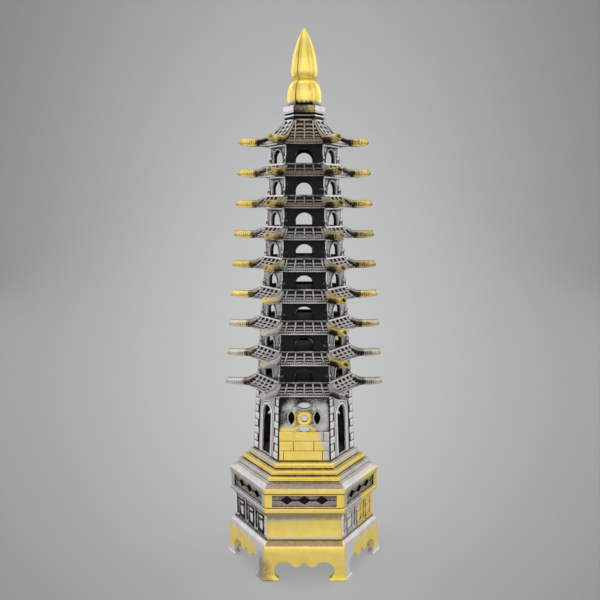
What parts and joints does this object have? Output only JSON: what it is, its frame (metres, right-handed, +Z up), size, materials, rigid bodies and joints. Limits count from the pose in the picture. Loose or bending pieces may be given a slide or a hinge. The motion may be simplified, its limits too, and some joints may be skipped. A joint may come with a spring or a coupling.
{
  "type": "ornamental model pagoda",
  "caption": "Cast metal model of a tall hexagonal pagoda with tiled roofs, horned eaves, open arched storeys, a lotus finial and a panelled plinth on splayed feet.",
  "frame": {"origin": "on the surface it stands on, under the centre of the feet", "axes": "+Z up; a flat side of the hexagon faces -Y, the front; corners on the X axis"},
  "size_m": [0.0764, 0.067, 0.25],
  "materials": {
    "antique_pewter": "antiqued bright pewter, black in the recesses",
    "gold_wash": "antiqued gold wash over the casting, black in the recesses"
  },
  "bodies": {
    "root": {"foot_stand": "gold_wash", "panel_drum": "antique_pewter", "drum_cornice": "antique_pewter", "plinth_frieze": "antique_pewter", "plinth_cap": "antique_pewter", "step_lower": "gold_wash", "step_middle": "gold_wash", "step_upper": "gold_wash", "ground_wall": "antique_pewter", "wall_2": "antique_pewter", "wall_3": "antique_pewter", "wall_4": "antique_pewter", "wall_5": "antique_pewter", "wall_6": "antique_pewter", "wall_7": "antique_pewter", "wall_8": "antique_pewter", "wall_9": "antique_pewter", "roof_1": "antique_pewter", "roof_2": "antique_pewter", "roof_3": "antique_pewter", "roof_4": "antique_pewter", "roof_5": "antique_pewter", "roof_6": "antique_pewter", "roof_7": "gold_wash", "roof_8": "gold_wash", "roof_9": "gold_wash", "neck_ring": "antique_pewter", "finial_seat": "gold_wash", "lotus_bulb": "gold_wash", "lotus_bud": "gold_wash"}
  },
  "joints": []
}
